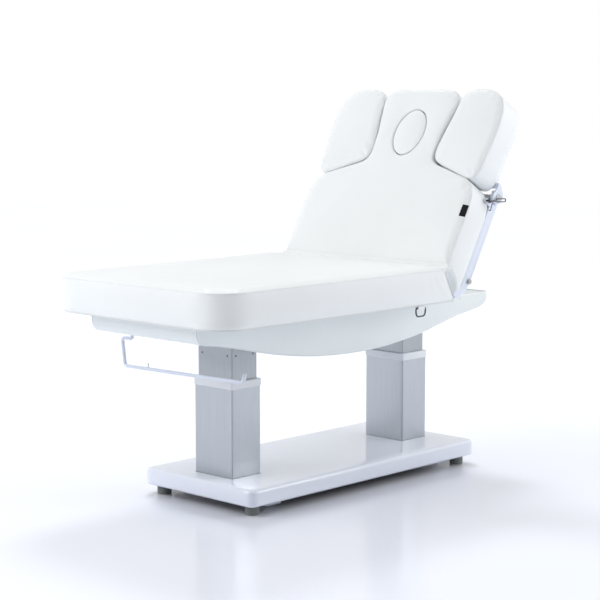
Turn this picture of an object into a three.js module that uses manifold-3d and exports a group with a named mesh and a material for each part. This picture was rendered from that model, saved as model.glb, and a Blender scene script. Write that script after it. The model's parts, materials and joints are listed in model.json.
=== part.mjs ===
// Facial treatment bed with two lifting columns, a tilting back section with a
// face opening, and two side pads that swing down. Millimetres, +Z up, +X
// towards the head end. "Left" is the -Y side, the left hand of a person lying
// on their back.
import * as THREE from 'three';
import { mergeVertices } from 'three/addons/utils/BufferGeometryUtils.js';
import Module from 'manifold-3d';

const wasm = await Module();
wasm.setup();

// ---------------------------------------------------------------- dimensions
const DATUM_X = 80.65;                // base centre, measured from the frame's origin

const BASE = { length: 1110, width: 500, bottom: 31, top: 87, corner: 22, edge: 9 };
const FOOT = { radius: 23.5, inset: 45, stem: 5 };
const CROSSBAR = { width: 66, length: 430, bottom: 16, outward: 8 };

const COLUMN_X = 417;               // column centres, either side of the base centre
const OUTER = { x: 128, y: 173, wall: 4, top: 395, corner: 5 };
const INNER = { x: 112, y: 157, wall: 4, bottom: 190, top: 565.6, corner: 4 };
const COLLAR = { lip: 3, bottom: 374, top: 398, flange: 2.7 };

const RAIL = { y: 140, width: 30, bottom: 566, top: 618, low: 606 };
const HULL = { halfWidth: 250, wall: 4, top: 612 };
const NOSE = { from: 431, to: 615.5 };   // flat cover behind the drive arm's swing
const BED = { foot: -824, halfWidth: 400, bottom: 618.6, boardTop: 631.6, top: 736, corner: 108 };

const BACK_ANGLE = 60;              // back section above horizontal, at rest
const CREASE = { x: 229, z: 736 };  // where the two upholstered faces meet
const PIVOT = { s: -55, off: 95.26 };   // back pivot, in the back's own directions
const PAD = { thickness: 112, board: 11.7, gap: 5 };
const SIDE_BAR = { outer: 371, width: 12, front: 113, rear: 150, end: 343 };
const PAD_PIVOT = { s: 325, off: 133 };
const BAR_PLUG = { s: 11, off: 141, r: 9, stem: 5.6 };
const FACE = { s: 503, long: 90, short: 66, slack: 1.6 };
const LEVER = { s: 292, off: 88, y: -385, pinR: 3 };

const SHAFT_R = 12.5;
const RUNNING = 12.62;              // bore that a shaft of SHAFT_R turns in
const ARM = { length: 90, pinR: 5.5 };
const ACTUATOR_Z = 559;
const ROD_END_X = 322;

// ---------------------------------------------------------------- materials
const material = (color, roughness, metalness = 0) =>
  new THREE.MeshStandardMaterial({ color, roughness, metalness });
const LEATHER = material(0xf1f3f2, 0.5);
const LACQUER = material(0xf6f8f8, 0.12);
const WHITE_PLASTIC = material(0xeff1f3, 0.35);
const POWDER = material(0xeceff4, 0.4, 0.1);
const SHELL = material(0xe6eae9, 0.3);
const ALUMINIUM = material(0xc3c8cc, 0.35, 0.9);
const STEEL = material(0x8f9499, 0.4, 0.9);
const FRAME = material(0xb9bec2, 0.45, 0.4);
const DARK_METAL = material(0x33373b, 0.3, 0.8);
const DARK_PLASTIC = material(0x2b2d30, 0.5);
const GREY_PLASTIC = material(0x7d8183, 0.55);
const BOARD = material(0xe4e6e5, 0.7);
const LABEL = material(0x101114, 0.8);

// ---------------------------------------------------------------- helpers
const group = new THREE.Group();
group.name = 'facial_treatment_bed';

// Welds a geometry and drops its zero-area triangles.
function weld(geometry) {
  const bare = geometry.clone();
  bare.deleteAttribute('normal');
  bare.deleteAttribute('uv');
  const merged = mergeVertices(bare, 1e-4);
  const kept = [];
  const index = merged.index.array;
  for (let i = 0; i < index.length; i += 3) {
    const [a, b, c] = [index[i], index[i + 1], index[i + 2]];
    if (a !== b && b !== c && c !== a) kept.push(a, b, c);
  }
  merged.setIndex(kept);
  return merged;
}

function toManifold(geometry) {
  const g = weld(geometry);
  return new wasm.Manifold(new wasm.Mesh({
    numProp: 3,
    vertProperties: new Float32Array(g.attributes.position.array),
    triVerts: new Uint32Array(g.index.array),
  }));
}

function fromManifold(solid) {
  const mesh = solid.getMesh();
  const count = mesh.vertProperties.length / mesh.numProp;
  const positions = new Float32Array(count * 3);
  for (let i = 0; i < count; i += 1) {
    for (let k = 0; k < 3; k += 1) positions[3 * i + k] = mesh.vertProperties[mesh.numProp * i + k];
  }
  const g = new THREE.BufferGeometry();
  g.setAttribute('position', new THREE.BufferAttribute(positions, 3));
  g.setIndex(Array.from(mesh.triVerts));
  return g;
}

const cut = (body, ...tools) =>
  fromManifold(tools.reduce((m, t) => m.subtract(toManifold(t)), toManifold(body)));
const join = (body, ...more) =>
  fromManifold(more.reduce((m, t) => m.add(toManifold(t)), toManifold(body)));

function add(name, geometry, mat) {
  const g = weld(geometry);
  g.translate(DATUM_X, 0, 0);
  g.computeVertexNormals();
  const mesh = new THREE.Mesh(g, mat.clone());
  mesh.name = name;
  group.add(mesh);
}

function box(x0, x1, y0, y1, z0, z1) {
  return new THREE.BoxGeometry(x1 - x0, y1 - y0, z1 - z0)
    .translate((x0 + x1) / 2, (y0 + y1) / 2, (z0 + z1) / 2);
}

const cylinderZ = (r, z0, z1, x, y, n = 32) =>
  new THREE.CylinderGeometry(r, r, z1 - z0, n).rotateX(Math.PI / 2).translate(x, y, (z0 + z1) / 2);
const cylinderY = (r, y0, y1, x, z, n = 48) =>
  new THREE.CylinderGeometry(r, r, y1 - y0, n).translate(x, (y0 + y1) / 2, z);
const cylinderX = (r, x0, x1, y, z, n = 32) =>
  new THREE.CylinderGeometry(r, r, x1 - x0, n).rotateZ(Math.PI / 2).translate((x0 + x1) / 2, y, z);

// Plan outline extruded from z0 to z1, its edges rounded by `edge` and the
// whole outline drawn in by `inset`.
function slab(shape, z0, z1, edge = 0, inset = 0, steps = 1, curveSegments = 2) {
  const rounded = edge + inset > 0;
  const thickness = rounded ? Math.max(edge, 0.2) : 0;
  return new THREE.ExtrudeGeometry(shape, {
    depth: z1 - z0 - 2 * thickness,
    bevelEnabled: rounded,
    bevelThickness: thickness,
    bevelSize: edge,
    bevelOffset: -edge - inset,
    bevelSegments: steps,
    curveSegments,
  }).translate(0, 0, z0 + thickness);
}

// Outline in the X-Z plane extruded across the bed from y0 to y1.
function profile(points, y0, y1) {
  const shape = points instanceof THREE.Shape ? points
    : new THREE.Shape(points.map((p) => new THREE.Vector2(...p)));
  return new THREE.ExtrudeGeometry(shape, { depth: y1 - y0, bevelEnabled: false, curveSegments: 4 })
    .rotateX(Math.PI / 2).translate(0, y1, 0);
}

function roundedRect(lx, ly, r, cx = 0, cy = 0) {
  const [x0, x1, y0, y1] = [cx - lx / 2, cx + lx / 2, cy - ly / 2, cy + ly / 2];
  const s = new THREE.Shape();
  s.moveTo(x0 + r, y0);
  s.lineTo(x1 - r, y0).absarc(x1 - r, y0 + r, r, -Math.PI / 2, 0);
  s.lineTo(x1, y1 - r).absarc(x1 - r, y1 - r, r, 0, Math.PI / 2);
  s.lineTo(x0 + r, y1).absarc(x0 + r, y1 - r, r, Math.PI / 2, Math.PI);
  s.lineTo(x0, y0 + r).absarc(x0 + r, y0 + r, r, Math.PI, 1.5 * Math.PI);
  return s;
}

function rectTube(lx, ly, wall, r, z0, z1, cx) {
  const shape = roundedRect(lx, ly, r, cx);
  const inside = roundedRect(lx - 2 * wall, ly - 2 * wall, Math.max(r - wall, 1), cx);
  shape.holes.push(new THREE.Path(inside.getPoints(2)));
  return slab(shape, z0, z1);
}

// A path whose stations are exactly the points given.
class StationPath extends THREE.Curve {
  constructor(points) { super(); this.points = points; }
  getUtoTmapping(u) { return u; }
  getPoint(t, target = new THREE.Vector3()) {
    const f = t * (this.points.length - 1);
    const i = Math.min(Math.floor(f), this.points.length - 2);
    return target.copy(this.points[i]).lerp(this.points[i + 1], f - i);
  }
}

// Corner points turned into a run with rounded bends.
function bend(corners, radius, steps = 5) {
  const p = corners.map((c) => new THREE.Vector3(...c));
  const out = [p[0]];
  for (let i = 1; i < p.length - 1; i += 1) {
    const before = p[i - 1].clone().sub(p[i]).normalize();
    const after = p[i + 1].clone().sub(p[i]).normalize();
    const half = Math.acos(THREE.MathUtils.clamp(before.dot(after), -1, 1)) / 2;
    const reach = radius / Math.tan(half);
    const centre = before.clone().add(after).normalize().multiplyScalar(radius / Math.sin(half)).add(p[i]);
    const from = p[i].clone().addScaledVector(before, reach).sub(centre);
    const to = p[i].clone().addScaledVector(after, reach).sub(centre);
    const sweep = from.angleTo(to);
    for (let k = 0; k <= steps; k += 1) {
      const a = Math.sin((1 - k / steps) * sweep) / Math.sin(sweep);
      const b = Math.sin((k / steps) * sweep) / Math.sin(sweep);
      out.push(centre.clone().addScaledVector(from, a).addScaledVector(to, b));
    }
  }
  out.push(p[p.length - 1]);
  return out;
}

function rod(corners, r, bendRadius, sides = 12, steps = 5) {
  const stations = bend(corners, bendRadius, steps);
  const circle = new THREE.Shape(
    Array.from({ length: sides }, (_, i) => new THREE.Vector2(
      r * Math.cos((2 * Math.PI * i) / sides), r * Math.sin((2 * Math.PI * i) / sides))));
  return new THREE.ExtrudeGeometry(circle, {
    steps: stations.length - 1, bevelEnabled: false, extrudePath: new StationPath(stations),
  });
}

// The back section is drawn flat, with s up the back from the crease as X and
// depth behind the face as -Z, then stood up at BACK_ANGLE.
const TILT = THREE.MathUtils.degToRad(BACK_ANGLE);
const raise = (geometry) => geometry.clone().rotateY(-TILT).translate(CREASE.x, 0, CREASE.z);
const raisePoint = (s, y, off) => [
  CREASE.x + s * Math.cos(TILT) + off * Math.sin(TILT), y,
  CREASE.z + s * Math.sin(TILT) - off * Math.cos(TILT),
];
const [HINGE_X, , HINGE_Z] = raisePoint(PIVOT.s, 0, PIVOT.off);
const smooth = (points, n) =>
  new THREE.SplineCurve(points.map((p) => new THREE.Vector2(...p))).getPoints(n);
const curve = (points, n) => smooth(points, n).map((v) => [v.x, v.y]);
const mirrorY = (geometry) => {
  const g = weld(geometry.clone().scale(1, -1, 1));
  const index = Array.from(g.index.array);
  for (let i = 0; i < index.length; i += 3) [index[i], index[i + 1]] = [index[i + 1], index[i]];
  g.setIndex(index);
  return g;
};
const SIDES = [['left', (g) => g], ['right', mirrorY]];   // parts are drawn on the left, at -Y
const ENDS = [['foot', -COLUMN_X], ['head', COLUMN_X]];

// ---------------------------------------------------------------- base
const footX = BASE.length / 2 - FOOT.inset;
const footY = BASE.width / 2 - FOOT.inset;
const corners = [['foot_end_left', -footX, -footY], ['foot_end_right', -footX, footY],
  ['head_end_left', footX, -footY], ['head_end_right', footX, footY]];

const openings = ENDS.map(([, x]) =>
  slab(roundedRect(OUTER.x + 0.7, OUTER.y + 0.7, OUTER.corner, x), BASE.bottom - 5, BASE.top + 5));
const stemHoles = corners.map(([, x, y]) => cylinderZ(FOOT.stem + 0.4, 20, 60, x, y, 20));
add('base_slab', cut(
  slab(roundedRect(BASE.length, BASE.width, BASE.corner), BASE.bottom, BASE.top, BASE.edge, 0, 3, 3),
  ...openings, ...stemHoles,
  cylinderX(7.5, BASE.length / 2 - 40, BASE.length / 2 + 5, 120, 59, 24)), LACQUER);

for (const [name, x] of ENDS) {
  const middle = x + Math.sign(x) * CROSSBAR.outward;
  add(`crossbar_${name}`, box(middle - CROSSBAR.width / 2, middle + CROSSBAR.width / 2,
    -CROSSBAR.length / 2, CROSSBAR.length / 2, CROSSBAR.bottom, BASE.bottom - 0.4), POWDER);
}
for (const [name, x, y] of corners) {
  const outline = [[0, 0], [FOOT.radius - 1.5, 0], [FOOT.radius, 1.5], [FOOT.radius, BASE.bottom - 0.5],
    [FOOT.stem, BASE.bottom - 0.5], [FOOT.stem, 58], [0, 58]].map((p) => new THREE.Vector2(...p));
  add(`glide_${name}`, new THREE.LatheGeometry(outline, 24).rotateX(Math.PI / 2).translate(x, y, 0),
    GREY_PLASTIC);
}
// Mains lead gland in the head-end face.
add('cable_gland', cut(
  join(cylinderX(7.1, BASE.length / 2 - 38, BASE.length / 2 + 1, 120, 59, 24),
    cylinderX(11, BASE.length / 2 + 0.4, BASE.length / 2 + 7, 120, 59, 6)),
  cylinderX(3.6, BASE.length / 2 - 50, BASE.length / 2 + 12, 120, 59, 20)), DARK_PLASTIC);

// ---------------------------------------------------------------- columns
for (const [name, x] of ENDS) {
  add(`column_outer_${name}`,
    rectTube(OUTER.x, OUTER.y, OUTER.wall, OUTER.corner, BASE.bottom, OUTER.top, x), ALUMINIUM);
  add(`column_inner_${name}`,
    rectTube(INNER.x, INNER.y, INNER.wall, INNER.corner, INNER.bottom, INNER.top, x), ALUMINIUM);
  const around = roundedRect(OUTER.x + 2 * COLLAR.lip, OUTER.y + 2 * COLLAR.lip,
    OUTER.corner + COLLAR.lip, x);
  const seat = roundedRect(OUTER.x + 0.7, OUTER.y + 0.7, OUTER.corner, x);
  const mouth = roundedRect(INNER.x + 0.8, INNER.y + 0.8, INNER.corner, x);
  add(`column_collar_${name}`, cut(slab(around, COLLAR.bottom, COLLAR.top, 1.2),
    slab(seat, COLLAR.bottom - 5, COLLAR.top - COLLAR.flange),
    slab(mouth, COLLAR.bottom - 5, COLLAR.top + 5)), WHITE_PLASTIC);
  add(`lift_motor_${name}`, join(
    slab(roundedRect(80, 110, 12, x), BASE.bottom + 0.4, 102),
    cylinderZ(20, 95, 112, x, 0, 24), cylinderZ(8, 100, 405, x, 0, 16)), DARK_PLASTIC);
  add(`lift_nut_tube_${name}`, cut(cylinderZ(18, 268, INNER.top, x, 0, 24),
    cylinderZ(9, 260, INNER.top + 5, x, 0, 16)), STEEL);
}

// ---------------------------------------------------------------- lifting chassis
const rail = (y) => join(
  box(-700, 240, y - RAIL.width / 2, y + RAIL.width / 2, RAIL.bottom, RAIL.top),
  box(230, 520, y - RAIL.width / 2, y + RAIL.width / 2, RAIL.bottom, RAIL.low));
const bridge = (x0, x1, z0, z1) => box(x0, x1, -RAIL.y, RAIL.y, z0, z1);
add('chassis', join(rail(RAIL.y), rail(-RAIL.y),
  bridge(-700, -670, RAIL.bottom, RAIL.top), bridge(-560, -530, 588, RAIL.top),
  bridge(-30, 0, 588, RAIL.top), bridge(180, 205, 588, RAIL.top), bridge(436, 464, 578, RAIL.low),
  bridge(495, 520, RAIL.bottom, RAIL.low), bridge(-208, -198, RAIL.bottom, RAIL.top),
  box(-208, -198, -45, 45, 525, RAIL.bottom + 5),
  bridge(-COLUMN_X - 85, -COLUMN_X + 85, RAIL.bottom, RAIL.bottom + 8),
  bridge(COLUMN_X - 60, COLUMN_X + 85, RAIL.bottom, RAIL.bottom + 8),
  ...[1, -1].map((side) => box(-700, -670, side * 140 - 100, side * 140 + 100, 600, RAIL.top))), FRAME);

// Boat-shaped fairing: foot end, long curved belly, and blunt nose.
const BELLY = [[-740, 559], [-666, 548], [-604, 535], [-527, 517], [-408, 494], [-276, 476], [-153, 468],
  [-25, 467], [68, 471], [150, 480], [265, 496], [356, 516], [466, 539], [568, 555]];
const hullOutline = [[-776, HULL.top], [-775, 596], [-771, 580], [-763, 568], [-752, 561.5],
  ...curve(BELLY, 36),
  [590, 559], [606, 565], [617, 575], [622, 588], [620, HULL.top]];
function drawnIn(points, d) {
  return points.map((p, i) => {
    const a = points[Math.max(i - 1, 0)];
    const b = points[Math.min(i + 1, points.length - 1)];
    const n = new THREE.Vector2(-(b[1] - a[1]), b[0] - a[0]).normalize();
    return [p[0] + n.x * d, p[1] + n.y * d];
  });
}
const hullInside = drawnIn(hullOutline, HULL.wall);
hullInside[0] = [hullInside[0][0], HULL.top + 30];
hullInside[hullInside.length - 1] = [hullInside[hullInside.length - 1][0], HULL.top + 30];
const holder = { x: -620, y: 229, r: 5 };
add('hull_fairing', cut(profile(hullOutline, -HULL.halfWidth, HULL.halfWidth),
  profile(hullInside, -HULL.halfWidth + HULL.wall, HULL.halfWidth - HULL.wall),
  ...ENDS.map(([, x]) => slab(
    roundedRect(OUTER.x + 2 * COLLAR.lip + 8, OUTER.y + 2 * COLLAR.lip + 8, 12, x), 430, 562)),
  cylinderZ(holder.r + 2, 500, 560, holder.x, holder.y, 20)), SHELL);
add('nose_cover', slab(roundedRect(NOSE.to - NOSE.from, 2 * (HULL.halfWidth - HULL.wall) - 1.2, 3,
  (NOSE.from + NOSE.to) / 2), HULL.top - 5.4, HULL.top - 1.4, 0.5), SHELL);
add('control_box', slab(roundedRect(104, 220, 6, -285), 526, RAIL.bottom - 0.4, 2), DARK_PLASTIC);
add('holder_socket', cut(cylinderZ(12, 546, 572, holder.x, holder.y, 28),
  cylinderZ(holder.r + 0.2, 540, 580, holder.x, holder.y, 24)), WHITE_PLASTIC);

// ---------------------------------------------------------------- back pivot and its drive
const bracketOutline = [[236, 570], [340, 570], [340, 590], [312, 618], [308, 641], [302, 655], [284, 663],
  [266, 657], [259, 641], [253, 612], [236, 606]];
for (const [name, place] of SIDES) {
  const inner = -RAIL.y - RAIL.width / 2 - 0.4;
  add(`hinge_bracket_${name}`, place(cut(profile(bracketOutline, inner - 8, inner),
    cylinderY(SHAFT_R + 0.3, -200, -100, HINGE_X, HINGE_Z))), FRAME);
}
add('pivot_shaft', cylinderY(SHAFT_R, -376, 376, HINGE_X, HINGE_Z), STEEL);
add('back_actuator', cut(join(
  cylinderX(30, -192, -75, 0, ACTUATOR_Z), cylinderX(20, -80, 205, 0, ACTUATOR_Z),
  box(-197.6, -185, -18, 18, ACTUATOR_Z - 22, ACTUATOR_Z + 22)),
cylinderX(11.5, -72, 215, 0, ACTUATOR_Z)), DARK_PLASTIC);
const slotShape = roundedRect(26, 40, 5, ROD_END_X, ACTUATOR_Z);
slotShape.holes.push(new THREE.Path(roundedRect(14.8, 31, 3, ROD_END_X, ACTUATOR_Z).getPoints(4)));
add('actuator_rod', join(profile(slotShape, -8, 8),
  cylinderX(11, 28, ROD_END_X - 11, 0, ACTUATOR_Z)), STEEL);

// ---------------------------------------------------------------- leg section
const planShape = (() => {
  const { foot, halfWidth: w, corner: r } = BED;
  const s = new THREE.Shape();
  s.moveTo(330, -w);
  s.lineTo(330, w).lineTo(foot + r, w);
  s.absarc(foot + r, w - r, r, Math.PI / 2, Math.PI);
  s.lineTo(foot, -w + r);
  s.absarc(foot + r, -w + r, r, Math.PI, 1.5 * Math.PI);
  return s;
})();
const V_GAP = { top: 14, mid: [37, 71], low: [26, 86], end: 21 };   // crease clearance, either side
const legEnd = profile([[CREASE.x - V_GAP.top, BED.top + 20], [CREASE.x - V_GAP.top, BED.top],
  [CREASE.x + V_GAP.mid[0], BED.top - V_GAP.mid[1]], [CREASE.x + V_GAP.low[0], BED.top - V_GAP.low[1]],
  [CREASE.x + V_GAP.end, BED.boardTop], [CREASE.x + V_GAP.end, BED.bottom - 20],
  [400, BED.bottom - 20], [400, BED.top + 20]], -500, 500);
add('leg_cushion', cut(slab(planShape, BED.boardTop + 0.4, BED.top, 9, 0, 2, 6), legEnd), LEATHER);
add('leg_board', cut(slab(planShape, BED.bottom, BED.boardTop, 1, 5, 1, 4), legEnd), BOARD);

const ring = { x: 79, y: -393, z: 612.6, r: 2.5 };
const ringCorners = [[-9, 0], [-25, 0], [-24, -14], [-8, -27], [8, -27], [24, -14], [25, 0], [9, 0]]
  .map(([x, z]) => [ring.x + x, ring.y, ring.z + z]);
add('strap_ring', rod(ringCorners, ring.r, 4.5, 10, 4), DARK_METAL);
add('ring_staple', cut(
  box(ring.x - 16, ring.x + 16, ring.y - 4.6, ring.y + 9, ring.z - 4.6, BED.bottom - 0.4),
  cylinderX(ring.r + 0.1, ring.x - 20, ring.x + 20, ring.y, ring.z, 24)), WHITE_PLASTIC);

const holderCorners = [[holder.y, 573], [holder.y, 521], [279, 521], [267, 430], [-280, 438], [-288, 466]]
  .map(([y, z]) => [holder.x, y, z]);
add('roll_holder', join(rod(holderCorners, holder.r, 12),
  cylinderZ(2, 434, 451, holder.x, 154, 12)), POWDER);

// ---------------------------------------------------------------- back section
const flatHalf = [[374, -70], [378, 40], [378, 230]];
const shoulder = curve([[376, 245], [371, 272], [360, 297], [344, 317], [325, 332]], 10);
const neck = curve([[178, 379], [163, 386], [151, 397], [145, 412], [143.5, 430]], 8);
const crown = curve([[169, 612], [167, 634], [156, 654], [138, 667], [112, 673]], 8);
const halfOutline = [...flatHalf, ...shoulder, ...neck, [148, 499], [159, 556], ...crown, [60, 675]];
const backShape = () => new THREE.Shape([
  ...halfOutline.map(([y, s]) => new THREE.Vector2(s, y)),
  ...halfOutline.slice().reverse().map(([y, s]) => new THREE.Vector2(s, -y))].reverse());
const oval = (grow) => {
  const p = new THREE.Path();
  p.absellipse(FACE.s, 0, FACE.long + grow, FACE.short + grow, 0, 2 * Math.PI, true);
  return p;
};
const ovalShape = (grow) => new THREE.Shape(oval(grow).getPoints(12).slice(0, -1).reverse());

const cushionShape = backShape();
cushionShape.holes.push(new THREE.Path(oval(FACE.slack).getPoints(12).slice(0, -1)));
const backEnd = profile([[V_GAP.top, 20], [V_GAP.top, 0], [-V_GAP.mid[0], -V_GAP.mid[1]],
  [-V_GAP.low[0], -V_GAP.low[1]], [-V_GAP.end, -PAD.thickness + PAD.board], [-V_GAP.end, -PAD.thickness - 20],
  [-200, -PAD.thickness - 20], [-200, 20]], -500, 500);
const foamBack = PAD.board - PAD.thickness + 0.4;
const boardFront = PAD.board - PAD.thickness;
add('back_cushion', raise(cut(slab(cushionShape, foamBack, 0, 8, 0, 2), backEnd)), LEATHER);
const boardShape = backShape();
boardShape.holes.push(new THREE.Path(oval(-9).getPoints(12).slice(0, -1)));
add('back_board', raise(cut(slab(boardShape, -PAD.thickness, boardFront, 0.6, 6), backEnd)), BOARD);
add('face_plug', raise(slab(ovalShape(0), foamBack + 0.4, -1, 6, 0, 2)), LEATHER);

// Side pads, left and right of the face opening.
const padOutline = smooth([[331, 338], [352, 346], [366, 368], [370, 400], [376, 450], [380, 520], [377, 570],
  [369, 610], [352, 642], [324, 664], [285, 677], [250, 680], [219, 676], [192, 662], [178, 640], [175, 612],
  [167.5, 556], [157, 499], [149.5, 440], [151, 415], [163, 396], [186, 385]], 54)
  .map((v) => new THREE.Vector2(v.y, -v.x));
const padShape = () => new THREE.Shape(padOutline);
const armRoot = { s: 352, y: -SIDE_BAR.outer - 1 };
for (const [name, place] of SIDES) {
  add(`pad_cushion_${name}`, place(raise(slab(padShape(), foamBack, 0, 8, 0, 2))), LEATHER);
  add(`pad_board_${name}`, place(raise(slab(padShape(), -PAD.thickness, boardFront, 0.6, 6))), BOARD);
  const ear = profile([[304, -108], [322, -104], [352, -112.4], [370, -112.6], [372, -124], [356, -146],
    [340, -155], [316, -153], [301, -138]], armRoot.y - 6, armRoot.y);
  const foot = box(armRoot.s, 520, -365, -330, -PAD.thickness - 5.4, -PAD.thickness - 0.4);
  const web = box(armRoot.s, 372, armRoot.y - 6, -340, -PAD.thickness - 5.4, -PAD.thickness - 0.6);
  add(`pad_arm_${name}`, place(raise(cut(join(foot, web, ear),
    cylinderY(RUNNING, -400, -360, PAD_PIVOT.s, -PAD_PIVOT.off)))), POWDER);
}

// Back frame: two flat side bars with pivot eyes, and cross plates.
const eye = Array.from({ length: 25 }, (_, i) => {
  const a = THREE.MathUtils.degToRad(108 + (i * 282) / 24);
  return [PIVOT.s + 20 * Math.sin(a) * -1, -PIVOT.off + 20 * Math.cos(a) * -1];
});
const neckOutline = [[8, -SIDE_BAR.front], [-25, -SIDE_BAR.front], [-38, -106], [PIVOT.s, -PIVOT.off],
  [-63, -113.6], [-30, -140], [8, -SIDE_BAR.rear]].reverse();
const leverLug = profile([[LEVER.s - 11, -SIDE_BAR.front - 4], [LEVER.s + 9, -SIDE_BAR.front - 4],
  [LEVER.s + 9, -LEVER.off + 3], [LEVER.s + 4, -LEVER.off + 8], [LEVER.s - 4, -LEVER.off + 8],
  [LEVER.s - 9, -LEVER.off + 3]], -SIDE_BAR.outer, -SIDE_BAR.outer + 3);
const sideBar = join(leverLug,
  box(5, SIDE_BAR.end, -SIDE_BAR.outer, -SIDE_BAR.outer + SIDE_BAR.width, -SIDE_BAR.rear, -SIDE_BAR.front),
  profile(neckOutline, -SIDE_BAR.outer, -SIDE_BAR.outer + SIDE_BAR.width),
  cylinderY(20, -SIDE_BAR.outer, -SIDE_BAR.outer + SIDE_BAR.width, PIVOT.s, -PIVOT.off));
const crossPlate = (s0, s1) => box(s0, s1, -362, 362, -SIDE_BAR.front - 8, -SIDE_BAR.front);
add('back_frame', raise(cut(join(sideBar, mirrorY(sideBar), crossPlate(36, 84), crossPlate(190, 230)),
  cylinderY(RUNNING, -400, 400, PIVOT.s, -PIVOT.off),
  cylinderY(SHAFT_R + 0.3, -400, 400, PAD_PIVOT.s, -PAD_PIVOT.off),
  cylinderY(BAR_PLUG.stem + 0.4, -400, 400, BAR_PLUG.s, -BAR_PLUG.off, 20),
  cylinderY(LEVER.pinR + 0.09, -400, 400, LEVER.s, -LEVER.off))), POWDER);
add('pad_shaft', raise(cylinderY(SHAFT_R, -380, 380, PAD_PIVOT.s, -PAD_PIVOT.off)), STEEL);

const armAngle = THREE.MathUtils.degToRad(25);       // drive arm past vertical, at rest
const pinX = HINGE_X + ARM.length * Math.sin(armAngle);
const pinZ = HINGE_Z - ARM.length * Math.cos(armAngle);
const across = new THREE.Vector2(Math.cos(armAngle), Math.sin(armAngle));
const beside = (x, z, d) => [x + d * across.x, z + d * across.y];
const armOutline = [beside(HINGE_X, HINGE_Z, -16), beside(pinX, pinZ, -10), beside(pinX, pinZ, 10),
  beside(HINGE_X, HINGE_Z, 20)];
const gusset = [[84, -SIDE_BAR.front - 8.4], [30, -SIDE_BAR.front - 8.4], [-25, -SIDE_BAR.front], [-38, -106],
  [PIVOT.s, -PIVOT.off], [-66, -113.6], [-30, -145], [84, -145]].reverse();
const armPlate = (y0, y1) => join(profile(armOutline, y0, y1), cylinderY(10, y0, y1, pinX, pinZ, 32),
  raise(profile(gusset, y0, y1)));
add('back_lever', cut(join(armPlate(-20, -12), armPlate(12, 20), cylinderY(22, -20, 20, HINGE_X, HINGE_Z),
  cylinderY(ARM.pinR, -20, 20, pinX, pinZ, 24)),
cylinderY(RUNNING, -30, 30, HINGE_X, HINGE_Z)), FRAME);

// Lock levers for the side pads, their wire springs, and the bars' end plugs.
const [leverX, , leverZ] = raisePoint(LEVER.s, 0, LEVER.off);
for (const [name, place] of SIDES) {
  const handle = [[30, 1], [48, 4], [88, 3], [88, -8], [46, -6], [30, -2]]
    .map(([x, z]) => [leverX + x, LEVER.y, leverZ + z]);
  add(`lock_lever_${name}`, place(join(
    cylinderY(9, LEVER.y - 4, LEVER.y + 5, leverX, leverZ, 28),
    cylinderY(LEVER.pinR, LEVER.y, -SIDE_BAR.outer + 3, leverX, leverZ),
    box(leverX, leverX + 38, LEVER.y - 3, LEVER.y + 3, leverZ - 6, leverZ + 2),
    rod(handle, 1.8, 4, 8, 3))), DARK_METAL);
  const wireY = LEVER.y - 6.2;
  const wire = [[-10, 4], [6, -6], [-4, -34], [-16, -30]].map(([x, z]) => [leverX + x, wireY, leverZ + z]);
  add(`lever_spring_${name}`, place(rod(wire, 1.4, 3, 8, 3)), DARK_METAL);
  const plug = (r, y0, y1, n) =>
    cylinderY(r, y0 - SIDE_BAR.outer, y1 - SIDE_BAR.outer, BAR_PLUG.s, -BAR_PLUG.off, n);
  add(`bar_plug_${name}`,
    place(raise(join(plug(BAR_PLUG.stem, -1, 11, 20), plug(BAR_PLUG.r, -8, -0.4, 24)))), GREY_PLASTIC);
}
add('blank_label', raise(box(187, 230, -376, -354, 0.4, 1.8)), LABEL);

export default group;
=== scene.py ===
import json
import math

import bmesh
import bpy
import numpy as np
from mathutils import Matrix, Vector
from mathutils.bvhtree import BVHTree
from mathutils.geometry import delaunay_2d_cdt

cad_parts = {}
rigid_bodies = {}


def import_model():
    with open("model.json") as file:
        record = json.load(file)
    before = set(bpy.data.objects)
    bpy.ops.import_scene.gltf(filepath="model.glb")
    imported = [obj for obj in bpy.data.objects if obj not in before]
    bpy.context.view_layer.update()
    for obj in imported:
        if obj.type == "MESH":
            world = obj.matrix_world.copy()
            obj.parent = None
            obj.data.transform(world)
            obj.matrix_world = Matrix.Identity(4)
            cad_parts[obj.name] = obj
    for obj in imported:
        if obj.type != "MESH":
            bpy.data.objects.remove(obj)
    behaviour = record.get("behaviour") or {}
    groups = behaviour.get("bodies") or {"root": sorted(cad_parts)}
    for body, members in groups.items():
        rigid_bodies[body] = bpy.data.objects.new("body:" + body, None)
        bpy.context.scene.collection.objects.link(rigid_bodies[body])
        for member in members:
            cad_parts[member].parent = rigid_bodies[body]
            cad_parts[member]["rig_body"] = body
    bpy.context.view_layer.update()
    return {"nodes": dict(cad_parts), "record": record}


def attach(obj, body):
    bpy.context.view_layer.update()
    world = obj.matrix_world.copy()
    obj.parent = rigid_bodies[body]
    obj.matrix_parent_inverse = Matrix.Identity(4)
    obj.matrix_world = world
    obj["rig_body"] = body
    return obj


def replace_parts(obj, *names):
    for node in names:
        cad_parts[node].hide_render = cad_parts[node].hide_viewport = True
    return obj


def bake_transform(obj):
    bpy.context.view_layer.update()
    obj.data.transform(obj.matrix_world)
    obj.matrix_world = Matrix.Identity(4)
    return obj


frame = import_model()
NODES = frame["nodes"]
scene = bpy.context.scene

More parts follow.
